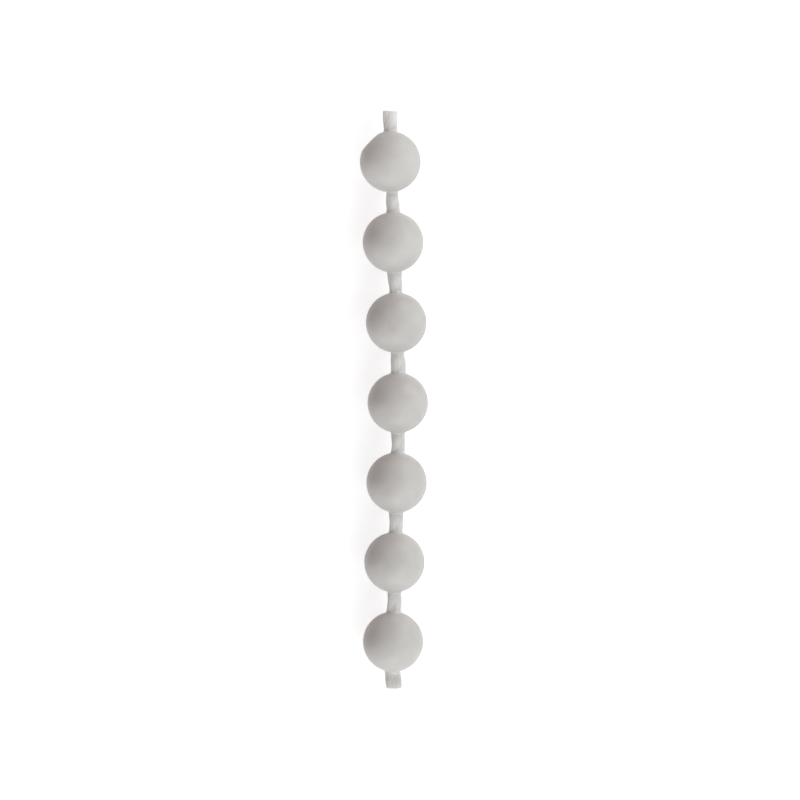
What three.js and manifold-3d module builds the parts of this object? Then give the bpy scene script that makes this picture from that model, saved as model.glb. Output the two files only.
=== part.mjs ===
// Roller blind chain: seven moulded balls at an even pitch on one three-strand twisted cord.
// Millimetres, +Z up. It lies on the plane z = 0 with the cord along Y, ball 1 at the +Y end.

import * as THREE from "three";
import { mergeVertices } from "three/addons/utils/BufferGeometryUtils.js";
import Module from "manifold-3d";

const wasm = await Module();
wasm.setup();

// Balls
const ballCount = 7;
const ballDiameter = 4.5;
const ballPitch = 6;

// Collar that the plastic leaves at each mouth: the radius of its fillet and its wall around the cord
const collarFillet = 0.18;
const collarWall = 0.07;

// Flat on ball 1: how deep it cuts into the sphere, and which way it faces, turned from +Y towards -X
const flatDepth = 0.17;
const flatDirection = THREE.MathUtils.degToRad(45);

// Cord: strands of round section laid right-handed round a shared axis and pressed well into each other.
// The diameter and the offset are those that a ball grips. Halfway between two balls the cord is larger
// by the swell, a share of them.
const strandCount = 3;
const strandDiameter = 0.72;
const strandOffset = 0.155;
const layLength = 5.84;
const strandPhase = THREE.MathUtils.degToRad(45);
const cordSwell = 0.09;

// Cord left showing past the first ball and past the last ball
const firstTail = 1.48;
const lastTail = 1.22;

// Room between the cord and the bore that follows it
const boreClearance = 0.02;

// How the chain lies: a lean to one side from ball 1 to the last ball, and a bow with two overtones
const lean = 0.206;
const bowHeights = [0.41, 0.024, -0.05];

// How each tail runs: sideways towards +X for each millimetre away from its ball
const firstTailSlope = 0.045;
const lastTailSlope = 0.04;

// Fineness of the facets, and the step over which a slope is taken
const ballSegments = 24;
const ballArcSteps = 13;
const filletSteps = 2;
const pointsPerStrand = 5;
const stationsPerLay = 12;
const slopeStep = 0.01;

// Worked out from the above
const ballRadius = ballDiameter / 2;
const strandRadius = strandDiameter / 2;
const cordRadius = strandOffset + strandRadius;
const collarRadius = cordRadius + boreClearance + collarWall;
const chainSpan = ballPitch * (ballCount - 1);
const cordStart = -chainSpan / 2 - ballRadius - lastTail;
const cordEnd = chainSpan / 2 + ballRadius + firstTail;
const stationCount = Math.round(((cordEnd - cordStart) / layLength) * stationsPerLay);
const stationSpacing = (cordEnd - cordStart) / stationCount;

const ballPlastic = { color: 0xd3d1cd, roughness: 0.45, metalness: 0 };
const cordFibre = { color: 0xd9d9d3, roughness: 0.85, metalness: 0 };

// The bow from the first ball to the last: its sideways place at a distance y along the chain
function bowAt(y) {
  const share = 0.5 - y / chainSpan;
  const bow = bowHeights.map((height, i) => height * Math.sin((i + 1) * Math.PI * share));
  return bow.reduce((sum, part) => sum + part, lean * share);
}

// Sideways run for each millimetre along Y
function slopeOf(placeAt, y) {
  return (placeAt(y + slopeStep) - placeAt(y - slopeStep)) / (2 * slopeStep);
}

// The centreline lies in one level plane. From the middle of each outer ball to its mouth it turns
// from the bow's direction to the tail's.
function sidewaysAt(y) {
  const past = Math.abs(y) - chainSpan / 2;
  if (past <= 0) {
    return bowAt(y);
  }
  const end = (Math.sign(y) * chainSpan) / 2;
  const bowSlope = Math.sign(y) * slopeOf(bowAt, end);
  const tailSlope = y > 0 ? firstTailSlope : lastTailSlope;
  const turning = Math.min(past, ballRadius);
  const turned = past - turning + turning ** 2 / ballDiameter;
  return bowAt(end) + bowSlope * past + (tailSlope - bowSlope) * turned;
}

function ballPlace(number) {
  return chainSpan / 2 - (number - 1) * ballPitch;
}

// The cord's size at y as a share of its gripped size: 1 up to a ball's mouth, full halfway to the next ball
function fullnessAt(y) {
  const nearest = THREE.MathUtils.clamp(Math.round((chainSpan / 2 - y) / ballPitch) + 1, 1, ballCount);
  const fromMouth = Math.abs(y - ballPlace(nearest)) - ballRadius;
  const share = THREE.MathUtils.clamp(fromMouth / (ballPitch / 2 - ballRadius), 0, 1);
  return 1 + cordSwell * Math.sin((share * Math.PI) / 2);
}

// Closed solid with shared vertices, ready to be joined or cut
function solidFrom(geometry) {
  const bare = geometry.clone();
  bare.deleteAttribute("normal");
  bare.deleteAttribute("uv");
  const merged = mergeVertices(bare);
  return new wasm.Manifold(
    new wasm.Mesh({
      numProp: 3,
      vertProperties: merged.getAttribute("position").array,
      triVerts: new Uint32Array(merged.getIndex().array),
    }),
  );
}

function geometryFrom(solid) {
  const mesh = solid.getMesh();
  const geometry = new THREE.BufferGeometry();
  geometry.setAttribute("position", new THREE.BufferAttribute(mesh.vertProperties, mesh.numProp));
  geometry.setIndex(new THREE.BufferAttribute(mesh.triVerts, 1));
  geometry.computeVertexNormals();
  return geometry;
}

// Outline of the laid strands: round lobes that meet in a valley between each two of them
function strandOutline(extraRadius) {
  const pointCount = strandCount * pointsPerStrand;
  const halfLobe = Math.PI / strandCount;
  const points = Array.from({ length: pointCount }, (_, i) => {
    const offCrest = (2 * halfLobe * (i % pointsPerStrand)) / pointsPerStrand - halfLobe;
    const across = strandOffset * Math.sin(offCrest);
    const pastCentre = Math.sqrt((strandRadius + extraRadius) ** 2 - across ** 2);
    const reach = strandOffset * Math.cos(offCrest) + pastCentre;
    const angle = (2 * Math.PI * i) / pointCount - halfLobe;
    return new THREE.Vector2(reach * Math.cos(angle), reach * Math.sin(angle));
  });
  return new THREE.Shape(points);
}

// The strands from one station of the cord to another: a straight extrusion, then swollen, twisted and bent
// along the centreline. The outline's x turns to +Z and its y to the side, so the lay is right-handed.
function laidStrands(fromStation, toStation, extraRadius) {
  const geometry = new THREE.ExtrudeGeometry(strandOutline(extraRadius), {
    depth: (toStation - fromStation) * stationSpacing,
    steps: toStation - fromStation,
    bevelEnabled: false,
  });
  const start = cordStart + fromStation * stationSpacing;
  const position = geometry.getAttribute("position");
  const point = new THREE.Vector3();
  for (let i = 0; i < position.count; i += 1) {
    point.fromBufferAttribute(position, i);
    const y = start + point.z;
    const twist = strandPhase + (2 * Math.PI * y) / layLength;
    const fullness = fullnessAt(y);
    const up = fullness * (point.x * Math.cos(twist) - point.y * Math.sin(twist));
    const side = fullness * (point.x * Math.sin(twist) + point.y * Math.cos(twist));
    const turn = Math.atan(slopeOf(sidewaysAt, y));
    position.setXYZ(i, sidewaysAt(y) + side * Math.cos(turn), y - side * Math.sin(turn), up);
  }
  return geometry;
}

// Half section of a ball from the middle out to its mouth: sphere, fillet and the collar's flat end.
// The flats between facets lie on the true sphere, so the faceted ball measures its full diameter.
function ballHalfProfile() {
  const arcStep = Math.PI / ballArcSteps;
  const facetRadius = ballRadius / Math.cos(Math.PI / ballSegments) / Math.cos(arcStep / 2);
  const filletOut = collarRadius + collarFillet;
  const filletAlong = Math.sqrt((facetRadius + collarFillet) ** 2 - filletOut ** 2);
  const filletTurn = Math.atan2(filletAlong, filletOut);
  const points = [];
  for (let angle = arcStep / 2; angle < filletTurn - arcStep / 2; angle += arcStep) {
    points.push(new THREE.Vector2(facetRadius * Math.cos(angle), facetRadius * Math.sin(angle)));
  }
  for (let i = 0; i <= filletSteps; i += 1) {
    const angle = filletTurn * (1 - i / filletSteps);
    points.push(
      new THREE.Vector2(
        filletOut - collarFillet * Math.cos(angle),
        filletAlong - collarFillet * Math.sin(angle),
      ),
    );
  }
  points.push(new THREE.Vector2(0, filletAlong));
  return points;
}

// Ball round the Y axis, turned so that a flat facet faces down
function ballBlank() {
  const upperHalf = ballHalfProfile();
  const lowerHalf = upperHalf.map((point) => new THREE.Vector2(point.x, -point.y)).reverse();
  return new THREE.LatheGeometry([...lowerHalf, ...upperHalf], ballSegments).rotateY(Math.PI / ballSegments);
}

// Block whose near face is the flat on ball 1
function flatCutter() {
  const block = new THREE.BoxGeometry(ballDiameter, ballDiameter, ballDiameter);
  block.translate(0, ballDiameter / 2 + ballRadius - flatDepth, 0);
  return block.rotateZ(flatDirection);
}

// One ball, with its axis from mouth to mouth of the cord, bored along the cord as it runs through there
function makeBall(number) {
  const y = ballPlace(number);
  const axisSlope = (sidewaysAt(y + ballRadius) - sidewaysAt(y - ballRadius)) / ballDiameter;
  const mesh = new THREE.Mesh(undefined, new THREE.MeshStandardMaterial(ballPlastic));
  mesh.name = `ball_${number}`;
  mesh.position.set(sidewaysAt(y), y, 0);
  mesh.rotation.z = -Math.atan(axisSlope);
  mesh.updateMatrix();

  const reach = ballRadius + collarFillet + stationSpacing;
  const fromStation = Math.max(0, Math.floor((y - reach - cordStart) / stationSpacing));
  const toStation = Math.min(stationCount, Math.ceil((y + reach - cordStart) / stationSpacing));
  const bore = laidStrands(fromStation, toStation, boreClearance).applyMatrix4(mesh.matrix.clone().invert());
  let ball = solidFrom(ballBlank()).subtract(solidFrom(bore));
  if (number === 1) {
    ball = ball.subtract(solidFrom(flatCutter()));
  }
  mesh.geometry = geometryFrom(ball);
  return mesh;
}

function makeCord() {
  const mesh = new THREE.Mesh(laidStrands(0, stationCount, 0), new THREE.MeshStandardMaterial(cordFibre));
  mesh.name = "cord";
  return mesh;
}

// The chain lies on the plane z = 0, with the middle of its outline over the origin
function makeChain() {
  const chain = new THREE.Group();
  chain.name = "roller_blind_chain";
  chain.add(makeCord());
  for (let number = 1; number <= ballCount; number += 1) {
    chain.add(makeBall(number));
  }
  const box = new THREE.Box3().setFromObject(chain);
  const middle = box.getCenter(new THREE.Vector3());
  chain.position.set(-middle.x, -middle.y, -box.min.z);
  return chain;
}

export default makeChain();
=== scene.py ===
import math

import bpy
import numpy as np
from mathutils import Matrix, Vector


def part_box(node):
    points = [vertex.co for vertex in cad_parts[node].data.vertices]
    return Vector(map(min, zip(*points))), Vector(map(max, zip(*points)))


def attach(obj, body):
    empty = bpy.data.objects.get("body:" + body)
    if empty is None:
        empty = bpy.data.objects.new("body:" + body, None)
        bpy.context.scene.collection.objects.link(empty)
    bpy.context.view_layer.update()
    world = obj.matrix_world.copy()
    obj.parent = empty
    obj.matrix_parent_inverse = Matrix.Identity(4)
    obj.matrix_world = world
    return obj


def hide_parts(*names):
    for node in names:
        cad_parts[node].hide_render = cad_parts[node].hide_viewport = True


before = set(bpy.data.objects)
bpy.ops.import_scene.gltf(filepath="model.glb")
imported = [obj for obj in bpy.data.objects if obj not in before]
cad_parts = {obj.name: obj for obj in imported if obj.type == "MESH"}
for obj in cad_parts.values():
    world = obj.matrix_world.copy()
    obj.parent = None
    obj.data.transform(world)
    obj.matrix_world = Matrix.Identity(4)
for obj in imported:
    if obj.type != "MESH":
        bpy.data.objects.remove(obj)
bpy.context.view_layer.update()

# Roller blind chain: seven moulded balls on one three-strand twisted cord, lying on a white table.
# Metres. Lengths written as so many mm are the real ones.
mm = 0.001

BALLS = [f"ball_{number}" for number in range(1, 8)]
BALL_RADIUS = 2.25 * mm
PITCH = 6.0 * mm
CHAIN_SPAN = PITCH * (len(BALLS) - 1)

# Cord: strands laid right-handed round a shared axis and pressed well into each other. The radius and
# the offset are those that a ball grips.
STRANDS = 3
STRAND_RADIUS = 0.36 * mm
STRAND_OFFSET = 0.155 * mm
LAY = 5.84 * mm
STRAND_PHASE = math.radians(45)
LOBE = 2 * math.pi / STRANDS
VALLEY_ANGLE = LOBE / 2 + math.asin(STRAND_OFFSET * math.sin(LOBE / 2) / STRAND_RADIUS)

# Loose fibres lift the valleys between the strands. At a ball's mouth the plastic that soaked in lifts
# them further.
VALLEY_FILL = 0.06
VALLEY_SPREAD = 0.3
MOUTH_FILL = 0.1
SOAKED_REACH = 0.35 * mm

# How full the cord is in each stretch that shows, against its gripped size: past ball 1, in the six gaps
# and past ball 7. Each stretch has its end towards ball 1, its middle and its other end.
FULLNESS = (
    (1.09, 1.10, 0.97),
    (0.83, 1.00, 1.01),
    (1.10, 1.07, 0.93),
    (0.95, 1.16, 1.11),
    (1.03, 1.02, 1.03),
    (1.09, 1.07, 0.99),
    (1.03, 1.10, 1.11),
    (1.17, 1.27, 1.20),
)

# How far to the side of the balls' middles the cord runs at the same places, in mm
ASIDE = (
    (-0.10, -0.02, -0.02),
    (0.08, 0.08, 0.08),
    (0.04, 0.04, 0.04),
    (0.04, 0.04, 0.04),
    (0.04, 0.04, 0.04),
    (0.04, 0.04, 0.04),
    (0.04, 0.04, 0.04),
    (-0.09, -0.07, 0.03),
)

# How far each of those stretches is greyed, as a share
GREYNESS = (0, 0, 0.04, 0.06, 0.08, 0.13, 0.2, 1)

# How the chain lies: a lean from ball 1 to ball 7 and a bow with two overtones
LEAN = 0.206 * mm
BOW_HEIGHTS = (0.41 * mm, 0.024 * mm, -0.05 * mm)

# Cord past the first ball and past the last: its length, and how far it runs sideways for each length
FIRST_TAIL, FIRST_TAIL_SLOPE = 1.48 * mm, 0.045
LAST_TAIL, LAST_TAIL_SLOPE = 1.22 * mm, 0.04
CORD_LOW = -CHAIN_SPAN / 2 - BALL_RADIUS - LAST_TAIL
CORD_HIGH = CHAIN_SPAN / 2 + BALL_RADIUS + FIRST_TAIL

# The step over which a slope is taken, the spacing at which the values above are joined up, and over how
# many such spacings they are softened
SLOPE_STEP = 0.01 * mm
PLACE_SPACING = 0.02 * mm
SOFTENING = 23


def middle(node):
    low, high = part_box(node)
    return (Vector(low) + Vector(high)) / 2


CHAIN_MIDDLE = middle("ball_4")


def bow_at(y):
    """The bow's place to the side, at a distance y along the chain from ball 4."""
    share = 0.5 - y / CHAIN_SPAN
    bow = sum(height * np.sin((i + 1) * math.pi * share) for i, height in enumerate(BOW_HEIGHTS))
    return LEAN * share + bow


def slope_of(place_at, y):
    return (place_at(y + SLOPE_STEP) - place_at(y - SLOPE_STEP)) / (2 * SLOPE_STEP)


def sideways_at(y):
    """The centreline's place to the side: from the middle of each outer ball it turns into the tail."""
    y = np.asarray(y, dtype=float)
    side = np.sign(y)
    past = np.clip(np.abs(y) - CHAIN_SPAN / 2, 0, None)
    bow_slope = side * slope_of(bow_at, side * CHAIN_SPAN / 2)
    tail_slope = np.where(y > 0, FIRST_TAIL_SLOPE, LAST_TAIL_SLOPE)
    turning = np.minimum(past, BALL_RADIUS)
    turned = past - turning + turning**2 / (2 * BALL_RADIUS)
    return bow_at(y - side * past) + bow_slope * past + (tail_slope - bow_slope) * turned


SIDEWAYS_ORIGIN = CHAIN_MIDDLE.x - float(sideways_at(0.0))


def along_centreline(y, side, up):
    """Points beside and above the centreline at y, in the row frame."""
    turn = np.arctan(slope_of(sideways_at, y))
    return np.stack(
        [
            SIDEWAYS_ORIGIN + sideways_at(y) + side * np.cos(turn),
            CHAIN_MIDDLE.y + y - side * np.sin(turn),
            CHAIN_MIDDLE.z + up,
        ],
        axis=-1,
    )


def rings_to_mesh(name, rings, closed_loop):
    """A surface through rings of points: its ends are capped, or the last ring joins the first."""
    ring_count, around = rings.shape[:2]
    last = ring_count if closed_loop else ring_count - 1
    faces = []
    for i in range(last):
        here, there = i * around, (i + 1) % ring_count * around
        for j in range(around):
            k = (j + 1) % around
            faces.append((here + j, here + k, there + k, there + j))
    if not closed_loop:
        faces.append(tuple(reversed(range(around))))
        faces.append(tuple(range((ring_count - 1) * around, ring_count * around)))
    mesh = bpy.data.meshes.new(name)
    mesh.from_pydata(rings.reshape(-1, 3).tolist(), [], faces)
    mesh.shade_smooth()
    return mesh


def place(name, mesh):
    piece = bpy.data.objects.new(name, mesh)
    bpy.context.scene.collection.objects.link(piece)
    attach(piece, "root")
    return piece


def smooth_max(a, b, k):
    return (a + b + np.sqrt((a - b) ** 2 + k**2)) / 2


# The cord's form


def stretch_places():
    """The high end, the middle and the low end of each stretch of cord that shows."""
    stretch = np.arange(len(FULLNESS))
    mouth_above = CHAIN_SPAN / 2 - (stretch - 1) * PITCH - BALL_RADIUS
    mouth_below = CHAIN_SPAN / 2 - stretch * PITCH + BALL_RADIUS
    high, low = np.minimum(mouth_above, CORD_HIGH), np.maximum(mouth_below, CORD_LOW)
    return np.stack([high, (high + low) / 2, low], axis=1)


STRETCH_PLACES = stretch_places()
PLACES = np.arange(CORD_LOW, CORD_HIGH, PLACE_SPACING)


def softened(values):
    """Values given for three places in each stretch, joined up softly and read at each of PLACES."""
    angular = np.interp(PLACES, STRETCH_PLACES.ravel()[::-1], np.ravel(values)[::-1])
    window = np.hanning(SOFTENING)
    padded = np.pad(angular, SOFTENING // 2, mode="edge")
    return np.convolve(padded, window / window.sum(), mode="valid")


FULLNESS_BY_PLACE = softened(FULLNESS)
ASIDE_BY_PLACE = softened(ASIDE) * mm
GREYNESS_BY_PLACE = softened(np.repeat(GREYNESS, 3))


def fullness_at(y):
    """The cord's size as a share of its gripped size."""
    return np.interp(y, PLACES, FULLNESS_BY_PLACE)


def aside_at(y):
    return np.interp(y, PLACES, ASIDE_BY_PLACE)


def greyness_at(y):
    return np.interp(y, PLACES, GREYNESS_BY_PLACE)


def twist_at(y):
    return STRAND_PHASE + 2 * math.pi * y / LAY


def soaked_at(y):
    """How far the cord is soaked with plastic: 1 inside a ball and at its mouth, falling to 0 past it."""
    nearest = np.clip(np.round((CHAIN_SPAN / 2 - y) / PITCH), 0, len(BALLS) - 1)
    past_mouth = np.abs(y - CHAIN_SPAN / 2 + nearest * PITCH) - BALL_RADIUS
    return np.exp(-((np.clip(past_mouth, 0, None) / SOAKED_REACH) ** 2))


def valley_lift(y, off_valley):
    """How much the surface is lifted where two strands meet, as a factor of its distance from the axis."""
    fill = VALLEY_FILL + MOUTH_FILL * soaked_at(y)
    return 1 + fill * np.exp(-((off_valley / VALLEY_SPREAD) ** 2))


def cord_reach(y, angle):
    """How far the cord's surface is from its axis, at an angle from straight up towards the side."""
    off_crest = (angle - twist_at(y) + LOBE / 2) % LOBE - LOBE / 2
    across = STRAND_OFFSET * np.sin(off_crest)
    reach = STRAND_OFFSET * np.cos(off_crest) + np.sqrt(STRAND_RADIUS**2 - across**2)
    off_valley = VALLEY_ANGLE * (1 - np.abs(off_crest) / (LOBE / 2))
    return reach * fullness_at(y) * valley_lift(y, off_valley)


# Balls

# Points round a ball and rings along it: the sphere's go this far towards the mouth, in degrees
POINTS_AROUND = 120
SPHERE_RINGS = 30
SPHERE_DEGREES = 68
MOUTH_RINGS = 22
BORE_STATIONS = 31

# Fine seam of the two mould halves, which fades out towards the mouths
SEAM_POINTS = 5
SEAM_HEIGHT = 0.012 * mm
SEAM_HALF_WIDTH = 0.03 * mm
SEAM_ENDS_AT = 2.1 * mm
SEAM_FADE = 0.2 * mm

# Collar at each mouth, where the plastic ran out along the cord: its thin lip sinks into the cord
FILLET = 0.14 * mm
COLLAR_START = 2.17 * mm
COLLAR_END = 2.43 * mm
COLLAR_WALL = 0.02 * mm
COLLAR_SINKS = 0.03 * mm
# The collars are painted paler from here outwards: partly thin plastic over the lighter cord, partly
# painted light against the shade at the mouths
COLLAR_PALES_FROM = 2.14 * mm
COLLAR_PALE_FROM = 2.28 * mm
BORE_INSIDE_CORD = 0.04 * mm

# Painted light: how far a whole ball is painted as light as its collars, as a share, which makes ball 1 and
# ball 2 lighter
PAINTED_LIGHT_BY_BALL = {"ball_1": 0.25, "ball_2": 0.13}

# Small flat on ball 1
FLAT_DEPTH = 0.17 * mm
FLAT_EDGE = 0.03 * mm
FLAT_DIRECTION = Vector((-math.sin(math.radians(45)), math.cos(math.radians(45)), 0))


def ball_angles():
    """Angles round the ball, evenly spread, with more of them at the two seams."""
    even = np.linspace(-math.pi, math.pi, POINTS_AROUND, endpoint=False)
    fine = np.linspace(-1, 1, SEAM_POINTS) * SEAM_HALF_WIDTH / BALL_RADIUS
    clear = even[np.abs(np.abs(even) - math.pi / 2) > 1.5 * SEAM_HALF_WIDTH / BALL_RADIUS]
    return np.sort(np.concatenate([clear, math.pi / 2 + fine, -math.pi / 2 + fine]))


def ball_stations():
    """Distances along the ball's axis, evenly spread over the sphere and closer at the mouths."""
    polar = np.radians(np.linspace(0, SPHERE_DEGREES, SPHERE_RINGS))
    mouth_start = BALL_RADIUS * math.sin(polar[-1])
    mouth = np.linspace(mouth_start, COLLAR_END, MOUTH_RINGS)[1:]
    half = np.concatenate([BALL_RADIUS * np.sin(polar), mouth])
    return np.concatenate([-half[:0:-1], half])


def ball_axis_slope(ball_y):
    """A ball's axis runs from the centreline's place at one mouth to its place at the other."""
    run = sideways_at(ball_y + BALL_RADIUS) - sideways_at(ball_y - BALL_RADIUS)
    return float(run) / (2 * BALL_RADIUS)


def gripped_reach(ball_y, station, angle):
    """How far the cord's surface is from the ball's axis, with the cord's small drift off that axis."""
    drift = sideways_at(ball_y + station) - sideways_at(ball_y) - station * ball_axis_slope(ball_y)
    return cord_reach(ball_y + station, angle) + (drift + aside_at(ball_y + station)) * np.sin(angle)


def ball_skin(ball_y, angles):
    """How far the outside of a ball is from its axis, from the one collar's lip to the other's."""
    station, angle = np.meshgrid(ball_stations(), angles, indexing="ij")
    sphere = np.sqrt(np.clip(BALL_RADIUS**2 - station**2, 0, None))
    past_mouth = np.clip((np.abs(station) - COLLAR_START) / (COLLAR_END - COLLAR_START), 0, 1)
    wall = COLLAR_WALL * (1 - past_mouth) - COLLAR_SINKS * past_mouth**4
    collar = gripped_reach(ball_y, station, angle) + wall
    reach = smooth_max(sphere, collar, FILLET * (1 - past_mouth))
    off_seam = (np.abs(angle) - math.pi / 2) * BALL_RADIUS
    seam = SEAM_HEIGHT * np.clip(1 - np.abs(off_seam) / SEAM_HALF_WIDTH, 0, 1)
    return station, angle, reach + seam * np.clip((SEAM_ENDS_AT - np.abs(station)) / SEAM_FADE, 0, 1)


def ball_bore(ball_y, angles):
    """The inside of a ball, gripping a little into the cord, from the far lip back to the near one."""
    stations = np.linspace(COLLAR_END, -COLLAR_END, BORE_STATIONS)
    station, angle = np.meshgrid(stations, angles, indexing="ij")
    return station, angle, gripped_reach(ball_y, station, angle) - BORE_INSIDE_CORD


def cut_flat(rings):
    """Brings the points beyond the flat's plane back to it, towards the ball's centre, with a soft edge."""
    plane = BALL_RADIUS - FLAT_DEPTH
    beyond = rings @ np.array(FLAT_DIRECTION)
    capped = (beyond + plane - np.sqrt((beyond - plane) ** 2 + FLAT_EDGE**2)) / 2
    share = np.where(beyond > plane - 10 * FLAT_EDGE, capped / np.maximum(beyond, FLAT_EDGE), 1)
    return rings * share[..., None]


def make_ball(name):
    ball_y = CHAIN_SPAN / 2 - BALLS.index(name) * PITCH
    turn = math.atan(ball_axis_slope(ball_y))
    parts = [ball_skin(ball_y, ball_angles()), ball_bore(ball_y, ball_angles())]
    station, angle, reach = (np.concatenate(both) for both in zip(*parts))
    side, up = reach * np.sin(angle), reach * np.cos(angle)
    rings = np.stack(
        [
            side * math.cos(turn) + station * math.sin(turn),
            station * math.cos(turn) - side * math.sin(turn),
            up,
        ],
        axis=-1,
    )
    if name == "ball_1":
        rings = cut_flat(rings)
    centre = along_centreline(ball_y, 0.0, 0.0)
    moulding = name + "_moulding"
    piece = place(moulding, rings_to_mesh(moulding, rings + centre, closed_loop=True))
    # Paler collars, partly painted light against the shade at the mouths, and painted light over the whole
    # of ball 1 and ball 2
    collar = (np.abs(station) - COLLAR_PALES_FROM) / (COLLAR_PALE_FROM - COLLAR_PALES_FROM)
    pale_and_painted_light = np.maximum(np.clip(collar, 0, 1), PAINTED_LIGHT_BY_BALL.get(name, 0))
    share = piece.data.attributes.new("pale_and_painted_light", "FLOAT", "POINT")
    share.data.foreach_set("value", pale_and_painted_light.astype(np.float32).ravel())
    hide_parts(name)
    piece.data.materials.append(ball_plastic)


# Cord: one closed skin round the three strands, with the fibres of each as fine ridges

POINTS_PER_STRAND = 44
VALLEY_INSET = 0.3
RIDGES = 20
BUNDLES = 9
RIDGE_HEIGHT = 0.014 * mm
GROOVE_SHARE = 0.7
FIBRE_TURN = -0.2
SHOWN_SPACING = 0.035 * mm
HIDDEN_SPACING = 0.2 * mm
HIDDEN_HALF = 2.1 * mm
END_CHAMFER = 0.02 * mm
END_RINGS = 9
END_RINGS_FROM, END_RINGS_TO = 0.93, 0.06

# How the fibres wander from side to side: how far, and the waves along the cord and round it
WANDER = ((0.05, 1.3, 2), (0.03, 3.1, 5))

# How far the cord's colour is darkened all over, and by painted shade in its grooves and in its valleys, as
# shares
PLAIN_SHADE = 0.04
GROOVE_SHADE = 0.14
VALLEY_SHADE = 0.25


def cord_stations():
    """Distances along the cord, close together where it shows and wider apart inside the balls."""
    edges = [CORD_LOW]
    for i in reversed(range(len(BALLS))):
        ball_y = CHAIN_SPAN / 2 - i * PITCH
        edges += [ball_y - HIDDEN_HALF, ball_y + HIDDEN_HALF]
    edges.append(CORD_HIGH)
    stations = []
    for i, (start, end) in enumerate(zip(edges, edges[1:])):
        spacing = HIDDEN_SPACING if i % 2 else SHOWN_SPACING
        stations.append(np.linspace(start, end, round((end - start) / spacing), endpoint=False))
    return np.concatenate(stations + [np.array([CORD_HIGH])])


def fibre_relief(fibre, y):
    """How far a strand's surface lies below its full radius: fibres of uneven thickness side by side."""
    wander = sum(far * np.sin(along * y / mm + around * fibre) for far, along, around in WANDER)
    groove = 1 - np.abs(np.sin(RIDGES / 2 * (fibre + wander)))
    depth = 0.6 + 0.4 * np.sin(3 * fibre + 0.9 * y / mm)
    bundle = 0.5 + 0.5 * np.cos(BUNDLES * (fibre + wander) + 0.4 * y / mm)
    return RIDGE_HEIGHT * (GROOVE_SHARE * groove * depth + bundle)


def make_cord():
    across = np.arange(POINTS_PER_STRAND) / (POINTS_PER_STRAND - 1) * 2 - 1
    across = across * (1 - VALLEY_INSET / POINTS_PER_STRAND)
    y, strand, off_crest = np.meshgrid(
        cord_stations(), np.arange(STRANDS), across * VALLEY_ANGLE, indexing="ij"
    )
    lobe = twist_at(y) + strand * LOBE
    fibre = off_crest + lobe - FIBRE_TURN * 2 * math.pi * y / LAY
    radius = (STRAND_RADIUS - fibre_relief(fibre, y)) * fullness_at(y)
    offset = STRAND_OFFSET * fullness_at(y)
    off_valley = VALLEY_ANGLE - np.abs(off_crest)
    lift = valley_lift(y, off_valley)
    side = lift * (offset * np.sin(lobe) + radius * np.sin(lobe + off_crest))
    up = lift * (offset * np.cos(lobe) + radius * np.cos(lobe + off_crest))

    # Painted shade in the fibre grooves and in the valleys between the strands, where shade falls; the
    # greying darkens the cord towards ball 7 and most past it
    in_valley = np.exp(-((off_valley / VALLEY_SPREAD) ** 2))
    between = GROOVE_SHADE * fibre_relief(fibre, y) / RIDGE_HEIGHT + VALLEY_SHADE * in_valley
    # Near each mouth the painted shade and the greying fade out, which paints light where the balls shade
    # the cord
    painted_shade_and_grey = (PLAIN_SHADE + between + greyness_at(y)) * (1 - soaked_at(y))
    around = STRANDS * POINTS_PER_STRAND
    grids = (y, side, up, fibre, strand, painted_shade_and_grey)
    y, side, up, fibre, strand, painted_shade_and_grey = (grid.reshape(-1, around) for grid in grids)
    end_rings = np.linspace(END_RINGS_FROM, END_RINGS_TO, END_RINGS)
    inward = np.concatenate([[1 - END_CHAMFER / STRAND_RADIUS], end_rings])
    low_end = [(0, share) for share in inward[::-1]]
    high_end = [(-1, share) for share in inward]
    middle_rings = [(i, 1) for i in range(len(y))]
    order = low_end + middle_rings + high_end
    index = np.array([i for i, _ in order])
    share = np.array([share for _, share in order])[:, None]
    rings = along_centreline(y[index], aside_at(y[index]) + side[index] * share, up[index] * share)

    mesh = rings_to_mesh("cord_strands", rings, closed_loop=False)
    fibres = mesh.attributes.new("fibre", "FLOAT_VECTOR", "POINT")
    per_point = np.stack([fibre[index] * STRAND_RADIUS / mm, y[index] / mm, strand[index]], axis=-1)
    fibres.data.foreach_set("vector", per_point.astype(np.float32).ravel())
    # The groove attribute carries the painted shade and the greying
    grooves = mesh.attributes.new("groove", "FLOAT", "POINT")
    grooves.data.foreach_set("value", painted_shade_and_grey[index].astype(np.float32).ravel())
    mesh.materials.append(cord_fibre)
    mesh.materials.append(cord_cut)
    end_faces = len(inward) * around
    sides = len(order) - 1
    for i, face in enumerate(mesh.polygons):
        at_end = i < end_faces or i >= sides * around - end_faces
        face.material_index = int(at_end)

    piece = place("cord_strands", mesh)
    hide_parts("cord")


# Materials


def new_material(name):
    material = bpy.data.materials.new(name)
    material.use_nodes = True
    nodes = material.node_tree.nodes
    return material, nodes, material.node_tree.links, nodes["Principled BSDF"]


def add_noise(nodes, links, vector, scale, detail):
    noise = nodes.new("ShaderNodeTexNoise")
    noise.inputs["Scale"].default_value = scale
    noise.inputs["Detail"].default_value = detail
    links.new(vector, noise.inputs["Vector"])
    return noise.outputs["Fac"]


def add_ramp(nodes, links, value, low, low_colour, high, high_colour):
    ramp = nodes.new("ShaderNodeValToRGB")
    ramp.color_ramp.elements[0].position = low
    ramp.color_ramp.elements[0].color = (*low_colour, 1)
    ramp.color_ramp.elements[1].position = high
    ramp.color_ramp.elements[1].color = (*high_colour, 1)
    links.new(value, ramp.inputs["Fac"])
    return ramp.outputs["Color"]


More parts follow.
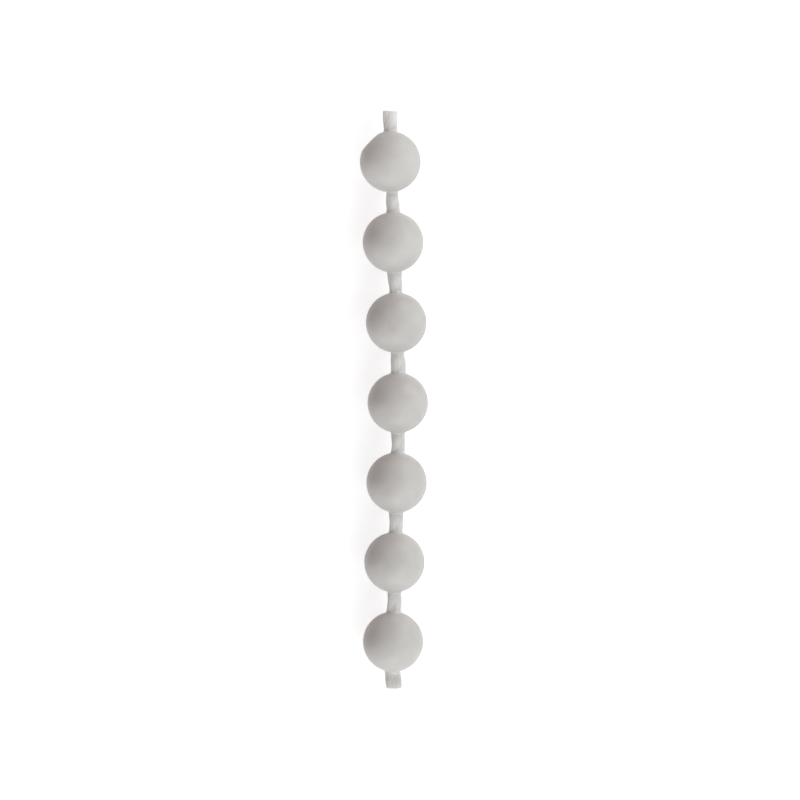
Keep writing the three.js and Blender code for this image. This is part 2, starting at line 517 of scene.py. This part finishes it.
def add_range(nodes, links, value, low, high):
    spread = nodes.new("ShaderNodeMapRange")
    spread.inputs["From Min"].default_value = 0.3
    spread.inputs["From Max"].default_value = 0.7
    spread.inputs["To Min"].default_value = low
    spread.inputs["To Max"].default_value = high
    links.new(value, spread.inputs["Value"])
    return spread.outputs["Result"]


def add_blend(nodes, links, share, colour, other_colour):
    blend = nodes.new("ShaderNodeMixRGB")
    blend.inputs["Color2"].default_value = (*other_colour, 1)
    links.new(share, blend.inputs["Fac"])
    links.new(colour, blend.inputs["Color1"])
    return blend.outputs["Color"]


def add_bump(nodes, links, height, strength, distance, shader):
    bump = nodes.new("ShaderNodeBump")
    bump.inputs["Strength"].default_value = strength
    bump.inputs["Distance"].default_value = distance
    links.new(height, bump.inputs["Height"])
    links.new(bump.outputs["Normal"], shader.inputs["Normal"])


def make_ball_plastic():
    material, nodes, links, shader = new_material("ball_plastic")
    place_on = nodes.new("ShaderNodeTexCoord").outputs["Object"]
    cloud = add_noise(nodes, links, place_on, scale=700, detail=4)
    tone = add_ramp(nodes, links, cloud, 0.3, (0.605, 0.59, 0.57), 0.7, (0.66, 0.65, 0.63))
    # The attribute paints the collars paler, partly for thin plastic over the lighter cord and partly as
    # painted light against the shade at the mouths, and paints ball 1 and ball 2 lighter as painted light
    pale_and_painted_light = nodes.new("ShaderNodeAttribute")
    pale_and_painted_light.attribute_name = "pale_and_painted_light"
    paled = add_blend(nodes, links, pale_and_painted_light.outputs["Fac"], tone, (0.78, 0.78, 0.75))
    links.new(paled, shader.inputs["Base Color"])
    milky = nodes.new("ShaderNodeMapRange")
    milky.inputs["To Min"].default_value = 0.3
    milky.inputs["To Max"].default_value = 0
    links.new(pale_and_painted_light.outputs["Fac"], milky.inputs["Value"])
    links.new(milky.outputs["Result"], shader.inputs["Subsurface Weight"])
    haze = add_noise(nodes, links, place_on, scale=1800, detail=3)
    links.new(add_range(nodes, links, haze, 0.38, 0.5), shader.inputs["Roughness"])
    grain = add_noise(nodes, links, place_on, scale=9000, detail=3)
    add_bump(nodes, links, grain, 0.15, 0.01 * mm, shader)
    shader.inputs["Specular IOR Level"].default_value = 0.3
    shader.inputs["Subsurface Radius"].default_value = (1.0, 0.8, 0.6)
    shader.inputs["Subsurface Scale"].default_value = 0.5 * mm
    return material


def make_cord_fibre():
    """Soft fibres: their attribute holds the way across them and along the cord, in mm, and the strand."""
    material, nodes, links, shader = new_material("cord_fibre")
    fibre = nodes.new("ShaderNodeAttribute")
    fibre.attribute_name = "fibre"
    stretched = nodes.new("ShaderNodeVectorMath")
    stretched.operation = "MULTIPLY"
    stretched.inputs[1].default_value = (1, 0.09, 7)
    links.new(fibre.outputs["Vector"], stretched.inputs[0])
    streak = add_noise(nodes, links, stretched.outputs["Vector"], scale=9, detail=5)
    tone = add_ramp(nodes, links, streak, 0.28, (0.91, 0.91, 0.85), 0.68, (0.97, 0.97, 0.91))
    # The groove attribute darkens the fibres with painted shade in the grooves and valleys, and with the
    # greying towards ball 7
    groove = nodes.new("ShaderNodeAttribute")
    groove.attribute_name = "groove"
    shaded = add_blend(nodes, links, groove.outputs["Fac"], tone, (0.46, 0.45, 0.44))
    links.new(shaded, shader.inputs["Base Color"])
    links.new(add_range(nodes, links, streak, 0.8, 0.65), shader.inputs["Roughness"])
    hair = add_noise(nodes, links, stretched.outputs["Vector"], scale=45, detail=2)
    add_bump(nodes, links, hair, 0.35, 0.008 * mm, shader)
    shader.inputs["Sheen Weight"].default_value = 1.0
    shader.inputs["Sheen Roughness"].default_value = 0.8
    shader.inputs["Sheen Tint"].default_value = (1, 0.98, 0.93, 1)
    shader.inputs["Subsurface Weight"].default_value = 0.9
    shader.inputs["Subsurface Radius"].default_value = (1.0, 0.97, 0.9)
    shader.inputs["Subsurface Scale"].default_value = 2.5 * mm
    return material


def make_cord_cut():
    """The cut ends of the fibres, as small round dots side by side, with painted shade in the gaps between
    them.
    """
    material, nodes, links, shader = new_material("cord_cut")
    place_on = nodes.new("ShaderNodeTexCoord").outputs["Object"]
    dots = nodes.new("ShaderNodeTexVoronoi")
    dots.inputs["Scale"].default_value = 18000
    links.new(place_on, dots.inputs["Vector"])
    from_middle = dots.outputs["Distance"]
    # Painted shade: darker away from each dot's middle, in the gaps between the fibre ends
    tone = add_ramp(nodes, links, from_middle, 0.2, (0.72, 0.72, 0.68), 0.75, (0.42, 0.42, 0.40))
    links.new(tone, shader.inputs["Base Color"])
    add_bump(nodes, links, from_middle, 0.5, -0.01 * mm, shader)
    shader.inputs["Roughness"].default_value = 0.8
    return material


# Floor, world, light and camera

FLOOR_SIZE = 0.36
FLOOR_WHITE = (0.6, 0.6, 0.6, 1)
FLOOR_GLOW = 0.7


def seen_directly(nodes, links):
    """1 for a ray from the camera, a reflection or a see-through surface, or else 0."""
    path = nodes.new("ShaderNodeLightPath")
    value = path.outputs["Is Camera Ray"]
    for ray in ("Is Glossy Ray", "Is Transmission Ray"):
        either = nodes.new("ShaderNodeMath")
        either.operation = "MAXIMUM"
        links.new(value, either.inputs[0])
        links.new(path.outputs[ray], either.inputs[1])
        value = either.outputs[0]
    return value


def make_floor():
    """A table that takes the chain's shadow and looks white where it is seen directly."""
    mesh = bpy.data.meshes.new("table")
    half = FLOOR_SIZE / 2
    corners = [(-half, -half, 0), (half, -half, 0), (half, half, 0), (-half, half, 0)]
    mesh.from_pydata(corners, [], [(0, 1, 2, 3)])
    table = bpy.data.objects.new("table", mesh)
    bpy.context.scene.collection.objects.link(table)

    material = bpy.data.materials.new("table_white")
    material.use_nodes = True
    nodes, links = material.node_tree.nodes, material.node_tree.links
    nodes.clear()
    paper = nodes.new("ShaderNodeBsdfDiffuse")
    paper.inputs["Color"].default_value = FLOOR_WHITE
    glow = nodes.new("ShaderNodeEmission")
    strength = nodes.new("ShaderNodeMath")
    strength.operation = "MULTIPLY"
    strength.inputs[1].default_value = FLOOR_GLOW
    links.new(seen_directly(nodes, links), strength.inputs[0])
    links.new(strength.outputs[0], glow.inputs["Strength"])
    both = nodes.new("ShaderNodeAddShader")
    links.new(paper.outputs[0], both.inputs[0])
    links.new(glow.outputs[0], both.inputs[1])
    output = nodes.new("ShaderNodeOutputMaterial")
    links.new(both.outputs[0], output.inputs["Surface"])
    mesh.materials.append(material)


WORLD_LEVEL = 0.15
WORLD_COLOUR = (1, 1, 1, 1)


def make_world():
    """Even light from all round, plain white where it is seen directly."""
    world = bpy.data.worlds.new("studio")
    bpy.context.scene.world = world
    world.use_nodes = True
    nodes, links = world.node_tree.nodes, world.node_tree.links
    backdrop = nodes["Background"]
    backdrop.inputs["Color"].default_value = WORLD_COLOUR
    level = nodes.new("ShaderNodeMapRange")
    level.inputs["To Min"].default_value = WORLD_LEVEL
    level.inputs["To Max"].default_value = 1
    links.new(seen_directly(nodes, links), level.inputs["Value"])
    links.new(level.outputs["Result"], backdrop.inputs["Strength"])


# Soft lamps, each a disk: its direction in degrees from +X towards +Y, its height in degrees, its size,
# its power and its colour
LAMP_DISTANCE = 0.6
WHITE = (1, 1, 1)
BLUSH = (1, 0.1, 0.06)
LAMPS = {
    "overhead": (0, 90, 0.4, 0.1, WHITE),
    "high_right": (0, 45, 0.4, 0.75, WHITE),
    "right": (30, 18, 0.32, 0.53, WHITE),
    "far_right": (60, 18, 0.32, 1.09, WHITE),
    "far_left": (135, 18, 0.32, 0.16, BLUSH),
    "left": (210, 18, 0.32, 0.7, WHITE),
    "near": (270, 18, 0.32, 0.97, WHITE),
    "near_right": (300, 45, 0.4, 1.08, WHITE),
}


def make_lamp(name, azimuth, elevation, size, power, colour):
    data = bpy.data.lights.new(name, "AREA")
    data.shape = "DISK"
    data.size = size
    data.energy = power
    data.color = colour
    lamp = bpy.data.objects.new(name, data)
    turn, rise = math.radians(azimuth), math.radians(elevation)
    towards = Vector((math.cos(rise) * math.cos(turn), math.cos(rise) * math.sin(turn), math.sin(rise)))
    lamp.location = CHAIN_MIDDLE + towards * LAMP_DISTANCE
    lamp.rotation_euler = towards.to_track_quat("Z", "Y").to_euler()
    lamp.visible_camera = False
    bpy.context.scene.collection.objects.link(lamp)


# The camera looks down on the chain, from a little towards ball 1
CAMERA_DISTANCE = 150 * mm
CAMERA_TILT = math.radians(2.1)
CAMERA_LENS = 90.05
AIM_FROM_BALL_1 = 0.729 * mm
AIM_FROM_BALL_4 = 0.205 * mm


def make_camera():
    data = bpy.data.cameras.new("camera")
    data.lens = CAMERA_LENS
    data.sensor_width = 36
    data.clip_start = 0.005
    camera = bpy.data.objects.new("camera", data)
    aim = Vector((middle("ball_1").x + AIM_FROM_BALL_1, CHAIN_MIDDLE.y + AIM_FROM_BALL_4, CHAIN_MIDDLE.z))
    away = Vector((0, math.sin(CAMERA_TILT), math.cos(CAMERA_TILT)))
    stand = Matrix.Translation(aim + away * CAMERA_DISTANCE)
    camera.matrix_world = stand @ Matrix.Rotation(-CAMERA_TILT, 4, "X")
    bpy.context.scene.collection.objects.link(camera)
    bpy.context.scene.camera = camera


make_camera()
ball_plastic = make_ball_plastic()
cord_fibre = make_cord_fibre()
cord_cut = make_cord_cut()
make_cord()
for ball in BALLS:
    make_ball(ball)
make_floor()
make_world()
for lamp_name, lamp_facts in LAMPS.items():
    make_lamp(lamp_name, *lamp_facts)

bpy.context.scene.view_settings.view_transform = "Standard"
